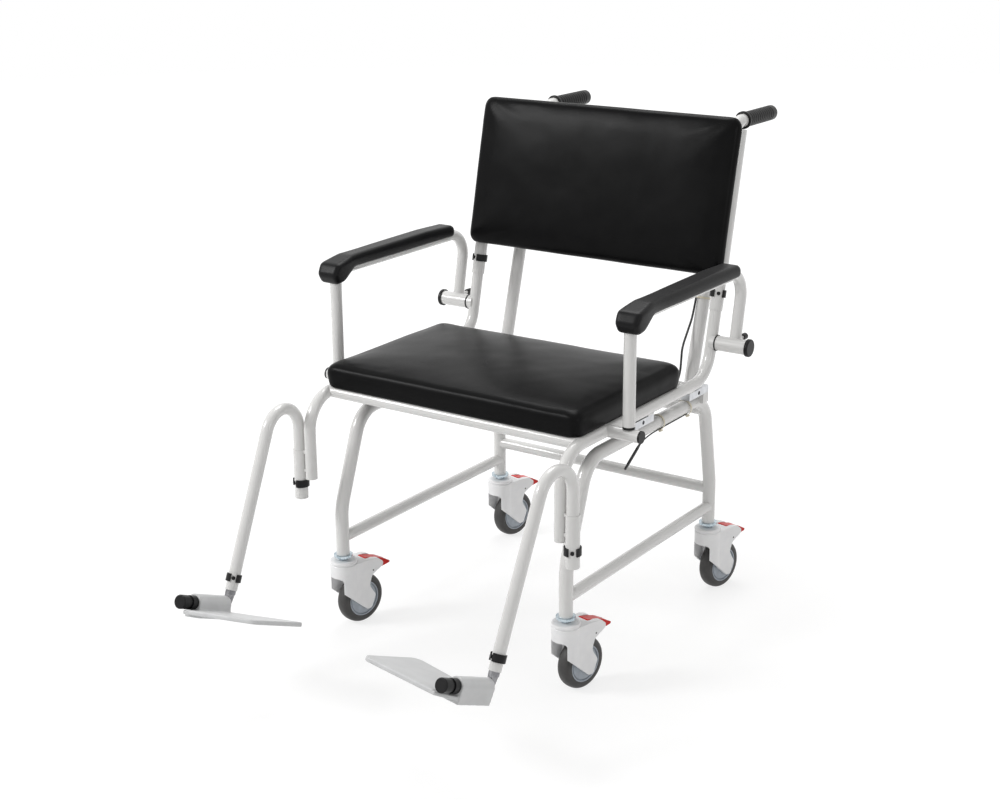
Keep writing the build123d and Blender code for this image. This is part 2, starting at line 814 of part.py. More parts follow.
def smooth_radii(points):
    """Arc radii as large as the runs allow: 0.45 of the shorter run over the tangent of half the turn."""
    radii = []
    for before, here, after in zip(points, points[1:], points[2:]):
        into = Vector(*here) - Vector(*before)
        out = Vector(*after) - Vector(*here)
        half_turn = radians(into.get_angle(out) / 2)
        radii.append(0.45 * min(into.length, out.length) / tan(half_turn))
    return radii


def beside_post(z):
    """Place of the scale cable where it touches the inner front of the right post."""
    return (post_x - 10.5, post_y(z) - 11, z)


def scale_cable():
    """Cable from a load cell, bowed out to the front below, then tied up the right post to the bracket."""
    points = [
        (cell_x - cell_wide / 2, 170, 447.5),
        (236, 172, 448),
        (217, 184, 446),
        (207, 205, 450),
        (205, 220, 466),
        (206, 221, 492),
        (206, 223, 514),
        (206, 242, 540),
        beside_post(575),
        beside_post(745),
        (199, 324, 770),
        (178, 331, 778),
        (158, 338, 781),
        (152, post_y(bar_z), bar_z - bar_size / 2 - 1),
    ]
    radii = smooth_radii(points)
    print("scale cable radii", [round(r) for r in radii])
    path = route(points, radii)
    print("scale cable length", round(path.length))
    return rod(path, cable_size)


def power_lead():
    """Thin lead tied under the right top rail, with a slim hanging plug at its front end."""
    plug_start = (lead_x, -22, 402)
    plug_end = (lead_x, -78, 367)
    points = [
        (238, rear_top_y - HEAVY / 2 - 0.5, rear_top_z),
        (241, 198, 399),
        (249, 178, 405),
        (lead_x, 150, lead_z),
        (lead_x, 48, lead_z),
        (lead_x, 12, 408),
        plug_start,
    ]
    radii = smooth_radii(points)
    print("power lead radii", [round(r) for r in radii])
    path = route(points, radii)
    print("power lead length", round(path.length))
    plug_path = route([plug_start, plug_end])
    return [rod(path, lead_size), rod(plug_path, 5.5) - rod(path, lead_size)]


def tie(cord):
    """Nylon tie about Z round a heavy tube and a cord that lies on its +X side."""
    reach = (HEAVY + cord) / 2
    inner = HEAVY + cord + 0.6
    band = disc(inner + 2, -1.8, 1.8) - disc(inner, -3, 3)
    band += block((inner / 2 + 0.4, -3, -2.6), (inner / 2 + 4.4, 3, 2.6))
    return Pos(reach - HEAVY / 2, 0, 0) * band


def cable_ties():
    """Two ties under the right rail and three on the right post, with one small tie on the free bow."""
    pieces = []
    for y in (48, 152):
        place = Pos(leg_x, y, BASE_RAIL) * Rot(-90, 0, 0) * Rot(0, 0, 65)
        pieces.append(place * tie(lead_size))
    for z in (602, 660, 718):
        up = Plane(origin=(post_x, post_y(z), z), x_dir=(-1, 0, 0), z_dir=(0, post_slope, 1))
        pieces.append(up * Rot(0, 0, 45) * tie(cable_size))
    return pieces


# Write every sub-part
save("base_arches", base_arch(), mirrored(base_arch()))
save("base_rails", *base_rails())
save("load_cells", *load_cells())
save("push_posts", push_post(), mirrored(push_post()))
save("push_grips", push_grip(), mirrored(push_grip()))
save("seat_rails", seat_rail(), mirrored(seat_rail()))
save("seat_cross_tubes", *seat_cross_tubes())
save("seat_board", seat_board())
save("seat_cushion", seat_cushion())
save("tube_fittings", *tube_fittings())
save("indicator_bracket", indicator_bracket())
save("scale_cable", scale_cable())
save("power_lead", *power_lead())
save("cable_ties", *cable_ties())

castor_places = {
    "front_left": (-leg_x, -half_base),
    "front_right": (leg_x, -half_base),
    "rear_left": (-leg_x, half_base),
    "rear_right": (leg_x, half_base),
}
save("castor_bolts", *[Pos(x, y, 0) * castor_bolt() for x, y in castor_places.values()])
for corner, (x, y) in castor_places.items():
    place = Pos(x, y, 0) * Rot(0, 0, -CASTOR_TURN)
    save(f"castor_fork_{corner}", place * castor_fork())
    save(f"castor_hub_{corner}", place * castor_hub())
    save(f"castor_tyre_{corner}", place * castor_tyre())
    save(f"brake_pedal_{corner}", place * brake_pedal())

save("back_frame", back_frame())
save("back_board", back_board())
save("back_cushion", back_cushion())
save("back_clips", *back_clips())

save_pair("armrest_tube", armrest_tube())
save_pair("armrest_pad", armrest_pad())
save_pair("armrest_bushes", armrest_bushes())
save_pair("hanger_tube", hanger_tube())
save_pair("foot_clip", foot_clip())
save_pair("footrest_stem", footrest_stem())
save_pair("footplate", footplate())
save_pair("foot_knob", foot_knob())

save("indicator_rear", indicator_rear())
save("indicator_front", indicator_front())
save("indicator_screen", indicator_screen())
for number, (x, y) in enumerate(key_places(), start=1):
    save(f"indicator_key_{number}", indicator_key(x, y))
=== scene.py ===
import math

import bmesh
import bpy
from mathutils import Matrix, Vector, noise


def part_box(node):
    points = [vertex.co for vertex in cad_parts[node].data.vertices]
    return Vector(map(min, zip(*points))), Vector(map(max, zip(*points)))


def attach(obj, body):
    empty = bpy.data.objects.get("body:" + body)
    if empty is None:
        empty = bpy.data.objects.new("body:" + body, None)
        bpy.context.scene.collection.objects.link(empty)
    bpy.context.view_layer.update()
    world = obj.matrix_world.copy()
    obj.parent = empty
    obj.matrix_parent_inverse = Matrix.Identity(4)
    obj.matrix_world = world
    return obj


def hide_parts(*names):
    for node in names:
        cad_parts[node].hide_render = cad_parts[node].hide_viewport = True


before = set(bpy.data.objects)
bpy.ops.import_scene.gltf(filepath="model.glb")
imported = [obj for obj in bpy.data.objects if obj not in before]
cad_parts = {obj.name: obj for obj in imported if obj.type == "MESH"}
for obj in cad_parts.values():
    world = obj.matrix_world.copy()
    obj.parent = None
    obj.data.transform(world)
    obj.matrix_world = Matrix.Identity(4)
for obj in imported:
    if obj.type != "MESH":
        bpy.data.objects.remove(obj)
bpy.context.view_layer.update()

# Camera
# The chair is seen from in front and from the side that is called right here, from above the height
# of its back, with a long lens that is held almost level.
mm = 0.001
castors_low, castors_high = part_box("castor_bolts")
middle_y = (castors_low.y + castors_high.y) / 2
camera_turn = math.radians(34.565)
camera_dip = math.radians(17.829)
camera_roll = math.radians(-0.427)
camera_lens = 61.24
camera_place = Vector((1.7058, middle_y - 2.5745, 1.4252))

camera_data = bpy.data.cameras.new("camera")
camera_data.lens = camera_lens
camera_data.sensor_width = 36
camera_data.clip_end = 100
camera = bpy.data.objects.new("camera", camera_data)
bpy.context.scene.collection.objects.link(camera)
camera.matrix_world = (
    Matrix.Translation(camera_place)
    @ Matrix.Rotation(camera_turn, 4, "Z")
    @ Matrix.Rotation(math.pi / 2 - camera_dip, 4, "X")
    @ Matrix.Rotation(camera_roll, 4, "Z")
)
bpy.context.scene.camera = camera
bpy.context.scene.view_settings.view_transform = "Standard"


# Studio
# A white floor that runs into a white background, with soft shadows under the castors. A strong lamp
# hangs at the upper left, a weak one at the right and one above, behind the chair.
def seen_directly(nodes, links):
    """One for what is seen, straight or in a reflection, and nothing for light that falls on the chair."""
    path = nodes.new("ShaderNodeLightPath")
    total = path.outputs["Is Camera Ray"]
    for ray in ("Is Glossy Ray", "Is Transmission Ray"):
        larger = nodes.new("ShaderNodeMath")
        larger.operation = "MAXIMUM"
        links.new(total, larger.inputs[0])
        links.new(path.outputs[ray], larger.inputs[1])
        total = larger.outputs[0]
    return total


def paint_air(strength):
    """Plain white surroundings that light the chair evenly."""
    air = bpy.data.worlds.new("studio_air")
    air.use_nodes = True
    nodes = air.node_tree.nodes
    links = air.node_tree.links
    nodes["Background"].inputs["Color"].default_value = (1.0, 0.995, 0.985, 1)
    nodes["Background"].inputs["Strength"].default_value = strength
    white = nodes.new("ShaderNodeBackground")
    white.inputs["Color"].default_value = (1, 1, 1, 1)
    white.inputs["Strength"].default_value = 1
    either = nodes.new("ShaderNodeMixShader")
    links.new(seen_directly(nodes, links), either.inputs[0])
    links.new(nodes["Background"].outputs[0], either.inputs[1])
    links.new(white.outputs[0], either.inputs[2])
    links.new(either.outputs[0], nodes["World Output"].inputs["Surface"])
    bpy.context.scene.world = air


def paint_floor(lift, near, far):
    """Matt white, lifted by its own light where it is seen, and pure white away from the chair."""
    finish = bpy.data.materials.new("floor_white")
    finish.use_nodes = True
    nodes = finish.node_tree.nodes
    links = finish.node_tree.links
    nodes.remove(nodes["Principled BSDF"])
    matt = nodes.new("ShaderNodeBsdfDiffuse")
    matt.inputs["Color"].default_value = (0.86, 0.86, 0.86, 1)
    white = nodes.new("ShaderNodeEmission")
    white.inputs["Strength"].default_value = 1.15
    place = nodes.new("ShaderNodeTexCoord")
    distance = nodes.new("ShaderNodeVectorMath")
    distance.operation = "LENGTH"
    links.new(place.outputs["Object"], distance.inputs[0])
    fade = nodes.new("ShaderNodeMapRange")
    fade.interpolation_type = "SMOOTHSTEP"
    for socket, value in (("From Min", near), ("From Max", far), ("To Min", lift), ("To Max", 1)):
        fade.inputs[socket].default_value = value
    links.new(distance.outputs["Value"], fade.inputs["Value"])
    share = nodes.new("ShaderNodeMath")
    share.operation = "MULTIPLY"
    links.new(seen_directly(nodes, links), share.inputs[0])
    links.new(fade.outputs["Result"], share.inputs[1])
    either = nodes.new("ShaderNodeMixShader")
    links.new(share.outputs[0], either.inputs[0])
    links.new(matt.outputs[0], either.inputs[1])
    links.new(white.outputs[0], either.inputs[2])
    links.new(either.outputs[0], nodes["Material Output"].inputs["Surface"])
    return finish


def lay_floor(radius):
    """Round floor with its middle under the chair."""
    floor_mesh = bpy.data.meshes.new("floor")
    disc = bmesh.new()
    bmesh.ops.create_circle(disc, cap_ends=True, segments=96, radius=radius)
    disc.to_mesh(floor_mesh)
    disc.free()
    floor_mesh.materials.append(paint_floor(lift=0.66, near=0.5, far=1.3))
    floor = bpy.data.objects.new("floor", floor_mesh)
    bpy.context.scene.collection.objects.link(floor)


def hang_lamp(name, place, size, power):
    """Square soft lamp that faces the seat."""
    seat_middle = Vector((0, 0, 0.5))
    lamp_data = bpy.data.lights.new(name, "AREA")
    lamp_data.size = size
    lamp_data.energy = power
    lamp = bpy.data.objects.new(name, lamp_data)
    lamp.location = place
    to_seat = seat_middle - lamp.location
    lamp.rotation_euler = to_seat.to_track_quat("-Z", "Y").to_euler()
    bpy.context.scene.collection.objects.link(lamp)


paint_air(strength=0.50)
lay_floor(radius=9)
hang_lamp("lamp_left", (-2.4, -2.6, 2.7), size=1.0, power=78)
hang_lamp("lamp_right", (3.0, -0.8, 1.7), size=1.0, power=8)
hang_lamp("lamp_above", (-0.6, 0.9, 3.0), size=1.4, power=36)


# White tubes
# The base, the seat frame, the push posts, the back frame, the armrests and the leg rests are bent and
# welded steel tube. They are powder coated in glossy white, with a faint orange-peel skin.
def mottled(name, light, dark, patch, gloss, wander, **settings):
    """A finish that drifts between two near tones in soft patches, and whose gloss wanders a little."""
    finish = bpy.data.materials.new(name)
    finish.use_nodes = True
    nodes = finish.node_tree.nodes
    links = finish.node_tree.links
    shader = nodes["Principled BSDF"]
    for socket, value in settings.items():
        shader.inputs[socket.replace("_", " ")].default_value = value
    place = nodes.new("ShaderNodeTexCoord")
    cloud = nodes.new("ShaderNodeTexNoise")
    cloud.inputs["Scale"].default_value = 1 / (patch * mm)
    cloud.inputs["Detail"].default_value = 3
    links.new(place.outputs["Object"], cloud.inputs["Vector"])
    tones = nodes.new("ShaderNodeValToRGB")
    for stop, colour, position in zip(tones.color_ramp.elements, (dark, light), (0.38, 0.62)):
        stop.color = (*colour, 1)
        stop.position = position
    links.new(cloud.outputs["Fac"], tones.inputs["Fac"])
    links.new(tones.outputs["Color"], shader.inputs["Base Color"])
    sheen = nodes.new("ShaderNodeMapRange")
    sheen.inputs["To Min"].default_value = gloss - wander
    sheen.inputs["To Max"].default_value = gloss + wander
    links.new(cloud.outputs["Fac"], sheen.inputs["Value"])
    links.new(sheen.outputs["Result"], shader.inputs["Roughness"])
    return finish


def grained(finish, grain, depth, cells=False, stretch=(1, 1, 1)):
    """Adds a surface grain of that size and depth in millimetres, over any that is there already."""
    nodes = finish.node_tree.nodes
    links = finish.node_tree.links
    shader = nodes["Principled BSDF"]
    place = nodes.new("ShaderNodeTexCoord")
    pull = nodes.new("ShaderNodeMapping")
    pull.inputs["Scale"].default_value = stretch
    links.new(place.outputs["Object"], pull.inputs["Vector"])
    texture = nodes.new("ShaderNodeTexVoronoi" if cells else "ShaderNodeTexNoise")
    texture.inputs["Scale"].default_value = 1 / (grain * mm)
    links.new(pull.outputs["Vector"], texture.inputs["Vector"])
    bump = nodes.new("ShaderNodeBump")
    bump.inputs["Distance"].default_value = depth * mm
    if shader.inputs["Normal"].links:
        links.new(shader.inputs["Normal"].links[0].from_socket, bump.inputs["Normal"])
    links.new(texture.outputs["Distance" if cells else "Fac"], bump.inputs["Height"])
    links.new(bump.outputs["Normal"], shader.inputs["Normal"])


def dress(nodes, finish):
    """Gives a finish to pieces of the frame that keep their own shape."""
    for node in nodes:
        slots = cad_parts[node].data.materials
        for number in range(len(slots)):
            slots[number] = finish


powder_white = mottled(
    "powder_white", (0.71, 0.705, 0.695), (0.69, 0.686, 0.676), patch=90, gloss=0.26, wander=0.03,
    Coat_Weight=0.6,
)
grained(powder_white, grain=2.2, depth=0.006)
sides = {"right": 1, "left": -1}
white_tubes = ["base_arches", "base_rails", "push_posts", "seat_rails", "seat_cross_tubes", "back_frame"]
white_tubes += [f"{part}_{side}" for part in ("armrest_tube", "hanger_tube") for side in sides]
dress(white_tubes, powder_white)


# Load cells
# Four aluminium bars carry the seat frame on the base and weigh what sits on it. They are sawn from
# bar, left bare, and bolted down through their ends.
bare_aluminium = mottled(
    "bare_aluminium", (0.62, 0.63, 0.65), (0.52, 0.53, 0.55), patch=12, gloss=0.34, wander=0.07,
    Metallic=1,
)
grained(bare_aluminium, grain=0.5, depth=0.02, stretch=(1, 0.05, 1))
dress(["load_cells"], bare_aluminium)


# Seat cushion
# A foam slab on a board, covered with smooth black upholstery vinyl that is pulled round its edges and
# fixed underneath. The cover has a fine leather grain and a soft sheen.
def rounded_box_ring(wide, deep, corner, height, step=4):
    """Points round a rectangle with rounded corners, at one height."""
    points = []
    half_x = wide / 2 - corner
    half_y = deep / 2 - corner
    for number, (side_x, side_y) in enumerate(((1, 1), (-1, 1), (-1, -1), (1, -1))):
        for part in range(step + 1):
            turn = math.pi / 2 * (number + part / step)
            x = side_x * half_x + corner * math.cos(turn)
            y = side_y * half_y + corner * math.sin(turn)
            points.append((x, y, height))
    return points


def skin(rings, closed=False):
    """Points and faces of a body through rings of equally many points. A closed one joins its ends."""
    count = len(rings[0])
    points = [point for ring in rings for point in ring]
    faces = []
    for level in range(len(rings) if closed else len(rings) - 1):
        low = level * count
        high = (level + 1) % len(rings) * count
        for place in range(count):
            after = (place + 1) % count
            faces.append((low + place, low + after, high + after, high + place))
    if not closed:
        faces.append(tuple(reversed(range(count))))
        faces.append(tuple(range(len(points) - count, len(points))))
    return points, faces


def solid(name, shape, finish, sharp=40):
    """A piece from points in millimetres and faces, smooth but for edges sharper than some degrees."""
    points, faces = shape
    mesh = bpy.data.meshes.new(name)
    mesh.from_pydata([Vector(point) * mm for point in points], [], faces)
    tidy = bmesh.new()
    tidy.from_mesh(mesh)
    bmesh.ops.recalc_face_normals(tidy, faces=tidy.faces)
    tidy.to_mesh(mesh)
    tidy.free()
    mesh.shade_smooth()
    mesh.set_sharp_from_angle(angle=math.radians(sharp))
    mesh.materials.append(finish)
    piece = bpy.data.objects.new(name, mesh)
    bpy.context.scene.collection.objects.link(piece)
    return piece


def settle(piece):
    """Makes a piece's modifiers part of its mesh."""
    bpy.context.view_layer.update()
    seen = piece.evaluated_get(bpy.context.evaluated_depsgraph_get())
    mesh = bpy.data.meshes.new_from_object(seen)
    piece.modifiers.clear()
    piece.data = mesh


def even_skin(piece, cell):
    """Gives a body one even skin of small squares, in millimetres."""
    remesh = piece.modifiers.new("even", "REMESH")
    remesh.mode = "VOXEL"
    remesh.voxel_size = cell * mm
    remesh.use_smooth_shade = True
    settle(piece)


def foam_block(wide, deep, thick, corner, edge, crown):
    """Slab with a drawn-in foot, round shoulders and a crowned top."""
    foot_draw = 5
    shoulder_steps = 6
    crown_steps = 8
    crown_fall = 2.4
    insets = [(foot_draw, 0), (foot_draw / 3, 0.16 * thick), (0, 0.45 * thick)]
    for step in range(shoulder_steps + 1):
        turn = math.pi / 2 * step / shoulder_steps
        insets.append((edge * (1 - math.cos(turn)), thick - crown - edge * (1 - math.sin(turn))))
    reach = min(wide, deep) / 2 - corner - 2
    for step in range(1, crown_steps + 1):
        share = step / crown_steps
        insets.append((edge + (reach - edge) * share, thick - crown * (1 - share) ** crown_fall))
    return skin([rounded_box_ring(wide - 2 * d, deep - 2 * d, corner, height) for d, height in insets])


def stuff(piece, held_below, cap):
    """Blows a cushion's cover up a little, holding its underside, as foam fills its cover."""
    last_frame = 20
    rest = [vertex.co.copy() for vertex in piece.data.vertices]
    held = piece.vertex_groups.new(name="held")
    held.add([v.index for v in piece.data.vertices if v.co.z < held_below * mm], 1, "REPLACE")
    cloth = piece.modifiers.new("cover", "CLOTH")
    cloth.settings.use_pressure = True
    cloth.settings.uniform_pressure_force = 4
    cloth.settings.vertex_group_mass = "held"
    cloth.settings.effector_weights.gravity = 0
    cloth.point_cache.frame_start = 1
    cloth.point_cache.frame_end = last_frame
    for number in range(1, last_frame + 1):
        bpy.context.scene.frame_set(number)
    settle(piece)
    for vertex, start in zip(piece.data.vertices, rest):
        moved = vertex.co - start
        if moved.length > cap * mm:
            vertex.co = start + moved.normalized() * cap * mm
    bpy.context.scene.frame_set(1)


def soften(piece, passes):
    """Takes the hardness out of a skin's small edges."""
    smooth = piece.modifiers.new("soften", "SMOOTH")
    smooth.factor = 0.5
    smooth.iterations = passes
    settle(piece)


def wander_skin(piece, size, height, low):
    """Moves the skin in and out by soft swells of that size, in millimetres, that start above a height."""
    rise = 10
    shifts = []
    for vertex in piece.data.vertices:
        swell = noise.noise(vertex.co / (size * mm))
        share = min(1.0, max(0.0, (vertex.co.z / mm - low) / rise))
        shifts.append(vertex.normal * swell * share * height * mm)
    for vertex, shift in zip(piece.data.vertices, shifts):
        vertex.co += shift


def refine(piece):
    """Gives a skin squares of half the size, rounded between the old ones."""
    finer = piece.modifiers.new("finer", "SUBSURF")
    finer.levels = 1
    finer.render_levels = 1
    settle(piece)
    piece.data.shade_smooth()


def fit(piece, low, high):
    """Stretches a piece to reach exactly between two corners, in millimetres."""
    for axis in range(3):
        reach = [vertex.co[axis] for vertex in piece.data.vertices]
        start = min(reach)
        share = (high[axis] - low[axis]) * mm / (max(reach) - start)
        for vertex in piece.data.vertices:
            vertex.co[axis] = low[axis] * mm + (vertex.co[axis] - start) * share


def hem(piece, wide, deep, drop):
    """Draws the rim of a slab's underside down over the tubes that carry it."""
    rim_wide = 12
    rim_high = 16
    for vertex in piece.data.vertices:
        x, y, z = vertex.co / mm
        inset = min(wide / 2 - abs(x), deep / 2 - abs(y))
        near_rim = min(1, max(0, 1.5 * (1 - inset / rim_wide)))
        near_foot = max(0, 1 - z / rim_high)
        vertex.co.z -= drop * near_rim * near_foot * mm


def cushion(name, size, thick, corner, edge, crown, place, finish, drop=0.0):
    """A covered foam slab: filled, softly uneven, and laid in its place."""
    wide, deep = size
    piece = solid(name, foam_block(wide, deep, thick, corner, edge, crown), finish)
    even_skin(piece, cell=5)
    stuff(piece, held_below=6, cap=1.6)
    soften(piece, passes=4)
    wander_skin(piece, size=95, height=0.9, low=8)
    wander_skin(piece, size=34, height=0.25, low=8)
    refine(piece)
    fit(piece, (-wide / 2, -deep / 2, 0), (wide / 2, deep / 2, thick))
    hem(piece, wide, deep, drop)
    piece.data.transform(place)
    return piece


black_vinyl = mottled(
    "black_vinyl", (0.0056, 0.0056, 0.0058), (0.0043, 0.0043, 0.0045), patch=45, gloss=0.29, wander=0.03,
    Specular_IOR_Level=0.06, Sheen_Weight=0.07, Sheen_Roughness=0.3,
)
grained(black_vinyl, grain=1.1, depth=0.06, cells=True)
grained(black_vinyl, grain=0.35, depth=0.03)
board_black = mottled(
    "board_black", (0.03, 0.03, 0.031), (0.022, 0.022, 0.023), patch=25, gloss=0.62, wander=0.08
)
grained(board_black, grain=0.8, depth=0.05)

seat_low, seat_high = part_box("seat_cushion")
seat_size = ((seat_high.x - seat_low.x) / mm, (seat_high.y - seat_low.y) / mm)
seat_place = Matrix.Translation((0, (seat_low.y + seat_high.y) / 2, seat_low.z))
seat_pad = cushion(
    "seat_pad", seat_size, thick=(seat_high.z - seat_low.z) / mm, corner=18, edge=18, crown=7,
    place=seat_place, finish=black_vinyl, drop=4.4,
)
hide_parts("seat_cushion")
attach(seat_pad, "frame")
dress(["seat_board", "back_board"], board_black)


# Back cushion
# The same covered foam on a board, taller, leaning back with the uprights. It is fixed to the back
# frame, so it rises with it.
lean = math.radians(13.1)
lean_foot = Vector((0, middle_y + 224 * mm, 598 * mm))


def local_frame(origin, x_axis, z_axis):
    """Matrix of a place whose x and z directions are given."""
    x_axis = Vector(x_axis).normalized()
    z_axis = Vector(z_axis).normalized()
    y_axis = z_axis.cross(x_axis)
    turn = Matrix((x_axis, y_axis, z_axis)).transposed().to_4x4()
    return Matrix.Translation(origin) @ turn


back_frame_place = local_frame(lean_foot, (1, 0, 0), (0, -math.cos(lean), math.sin(lean)))
back_wide = 577
back_low = 64
back_high = 361
back_rear = 13.6
back_front = 46
back_middle = (back_low + back_high) / 2
back_place = back_frame_place @ Matrix.Translation((0, back_middle * mm, back_rear * mm))
back_size = (back_wide, back_high - back_low)
back_pad = cushion(
    "back_pad", back_size, thick=back_front - back_rear, corner=20, edge=16, crown=5,
    place=back_place, finish=black_vinyl,
)
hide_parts("back_cushion")
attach(back_pad, "backrest")


# Armrest pads
# Moulded black foam with its own tough skin, pressed down over the armrest tube. The top is flat with
# broken edges, and the nose is wider, rolled down in front of the bend.
def rounded(corners, radii, steps=8):
    """Outline through corner points with an arc at each one."""
    outline = []
    count = len(corners)
    for number, (corner, radius) in enumerate(zip(corners, radii)):
        here = Vector(corner)
        before = (Vector(corners[number - 1]) - here).normalized()
        after = (Vector(corners[(number + 1) % count]) - here).normalized()
        half = before.angle(after) / 2
        reach = radius / math.tan(half)
        middle = here + (before + after).normalized() * (radius / math.sin(half))
        start = here + before * reach - middle
        end = here + after * reach - middle
        sweep = start.angle_signed(end)
        for step in range(steps + 1):
            part = -sweep * step / steps
            turned = Matrix.Rotation(part, 2) @ start
            outline.append(tuple(middle + turned))
    return outline


def along(outline, spacing):
    """The same outline with points at an even spacing."""
    points = [Vector(point) for point in outline]
    even = []
    carried = 0.0
    for here, after in zip(points, points[1:] + points[:1]):
        long = (after - here).length
        while carried < long:
            even.append(here.lerp(after, carried / long))
            carried += spacing
        carried -= long
    return even


def shrunk(outline, inset):
    """An outline moved inward, to the left of its direction."""
    moved = []
    count = len(outline)
    for number in range(count):
        before = outline[number - 1]
        after = outline[(number + 1) % count]
        run = (after - before).normalized()
        moved.append(outline[number] + Vector((-run.y, run.x)) * inset)
    return moved


def cheeked(outline, half_wide, edge):
    """Side outline made into a body across x, with rounded rims. The outline runs anticlockwise."""
    rim_steps = 6
    near_half = []
    for step in range(rim_steps + 1):
        turn = math.pi / 2 * step / rim_steps
        inset = edge * (1 - math.cos(turn))
        near_half.append((half_wide - edge + edge * math.sin(turn), shrunk(outline, inset)))
    levels = [(-depth, ring) for depth, ring in reversed(near_half)] + [(0, outline)] + near_half
    return skin([[(depth, p.x, p.y) for p in ring] for depth, ring in levels])


foam_black = mottled(
    "foam_black", (0.0070, 0.0070, 0.0075), (0.0050, 0.0050, 0.0055), patch=30, gloss=0.36, wander=0.04,
    Specular_IOR_Level=0.12, Sheen_Weight=0.06,
)
grained(foam_black, grain=0.9, depth=0.05, cells=True)
grained(foam_black, grain=0.3, depth=0.03)

arm_x = 324.5
pad_tail = 187
pad_nose = -199
pad_crest = 705.5
pad_underside = 679.5
pad_half_wide = 21.5
nose_foot = 655
nose_half_wide = 1.12 * pad_half_wide


def pad_outline():
    """Side view of a pad, with y along the tube and z up, from the tail over the top to the nose."""
    corners_and_radii = (
        ((pad_tail, pad_underside), 8),
        ((pad_tail, pad_crest - 2.5), 9),
        ((pad_tail - 87, pad_crest), 120),
        ((pad_nose + 59, pad_crest - 2), 50),
        ((pad_nose + 11, pad_crest - 11.5), 12),
        ((pad_nose, nose_foot + 19), 10),
        ((pad_nose + 11, nose_foot), 9),
        ((pad_nose + 33, nose_foot + 3), 20),
        ((pad_nose + 66, pad_underside), 18),
    )
    return along(rounded(*zip(*corners_and_radii)), spacing=4)


def armrest_form():
    """One pad in its own frame, x across from the middle of the tube."""
    nose_middle = pad_nose + 27
    neck_middle = pad_nose + 99
    crest_start = pad_crest - 12
    piece = solid("armrest_form", cheeked(pad_outline(), pad_half_wide, edge=7), foam_black)
    even_skin(piece, cell=2.2)
    for vertex in piece.data.vertices:
        x, y, z = vertex.co / mm
        nose = math.exp(-(((y - nose_middle) / 40) ** 2))
        neck = math.exp(-(((y - neck_middle) / 60) ** 2))
        swell = 1 + 0.15 * nose - 0.07 * neck
        crest = 1 - 0.12 * min(1.0, max(0.0, (z - crest_start) / 10))
        foot = 0.93 + 0.07 * min(1.0, max(0.0, (z - nose_foot) / 30))
        vertex.co.x = x * swell * crest * foot * mm
    soften(piece, passes=4)
    refine(piece)
    fit(piece, (-nose_half_wide, pad_nose, nose_foot + 0.4), (nose_half_wide, pad_tail, pad_crest))
    return piece


form = armrest_form()
for side, sign in sides.items():
    pad = form.copy()
    pad.data = form.data.copy()
    pad.name = f"arm_pad_{side}"
    bpy.context.scene.collection.objects.link(pad)
    place = Matrix.Translation((sign * arm_x * mm, middle_y, 0))
    pad.data.transform(place)
    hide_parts(f"armrest_pad_{side}")
    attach(pad, f"armrest_{side}")
bpy.data.objects.remove(form)


# Black plastic fittings
# Injection-moulded nylon: end caps, bushes, washers, spring clips, knobs and the covers of bolts. They
# are satin black with the fine texture of the mould.
plastic_black = mottled(
    "plastic_black", (0.010, 0.010, 0.0105), (0.007, 0.007, 0.0075), patch=14, gloss=0.34, wander=0.06,
    Specular_IOR_Level=0.2,
)
grained(plastic_black, grain=0.4, depth=0.02)
dress(["tube_fittings", "back_clips"], plastic_black)
for side in sides:
    dress([f"{part}_{side}" for part in ("armrest_bushes", "foot_clip", "foot_knob")], plastic_black)


# Push grips
# Black rubber sleeves pushed over the level ends of the posts, ribbed round for the fingers, with a
# collar in front and a closed end.
def turned_body(profile, steps=48, closed=False):
    """Body of revolution about z from (radius, height) points."""
    rings = []
    for radius, height in profile:
        ring = []
        for step in range(steps):
            turn = 2 * math.pi * step / steps
            ring.append((radius * math.cos(turn), radius * math.sin(turn), height))
        rings.append(ring)
    return skin(rings, closed)


def grip_profile(long, radius):
    """Collar, rounded grooves and a domed end, from (radius, place along the grip) points."""
    bore = 13
    collar = radius + 2.4
    bevel = 1
    first_groove = 13
    groove_count = 12
    groove_pitch = 8.2
    groove_wide = 2.8
    groove_deep = 1.5
    end_round = 3
    steps = 6
    profile = [(bore, 0), (collar - bevel, 0), (collar, 0.8)]
    profile += [(collar, 4.2), (collar - bevel, 5.2), (radius, 6)]
    for number in range(groove_count):
        start = first_groove + groove_pitch * number
        for step in range(steps + 1):
            dip = groove_deep * math.sin(math.pi * step / steps)
            profile.append((radius - dip, start + groove_wide * step / steps))
    for step in range(1, steps + 1):
        turn = math.pi / 2 * step / steps
        reach = radius - end_round + end_round * math.cos(turn)
        profile.append((reach, long - end_round + end_round * math.sin(turn)))
    return profile


rubber_black = mottled(
    "rubber_black", (0.010, 0.010, 0.010), (0.007, 0.007, 0.007), patch=16, gloss=0.40, wander=0.06,
    Specular_IOR_Level=0.2,
)
grained(rubber_black, grain=0.5, depth=0.04)
grip_radius = 15
grip_low, grip_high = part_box("push_grips")
grip_long = (grip_high.y - grip_low.y) / mm
grip_x = grip_high.x - (grip_radius + 2) * mm
grip_place = Matrix.Translation((grip_x, grip_low.y, (grip_low.z + grip_high.z) / 2))
grips = solid("grips", turned_body(grip_profile(grip_long, grip_radius)), rubber_black, sharp=50)
grips.data.transform(grip_place @ Matrix.Rotation(math.radians(-90), 4, "X"))
other_grip = grips.data.copy()
other_grip.transform(Matrix.Translation((-2 * grip_x, 0, 0)))
both = bmesh.new()
both.from_mesh(grips.data)
both.from_mesh(other_grip)
both.to_mesh(grips.data)
both.free()
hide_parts("push_grips")
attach(grips, "frame")


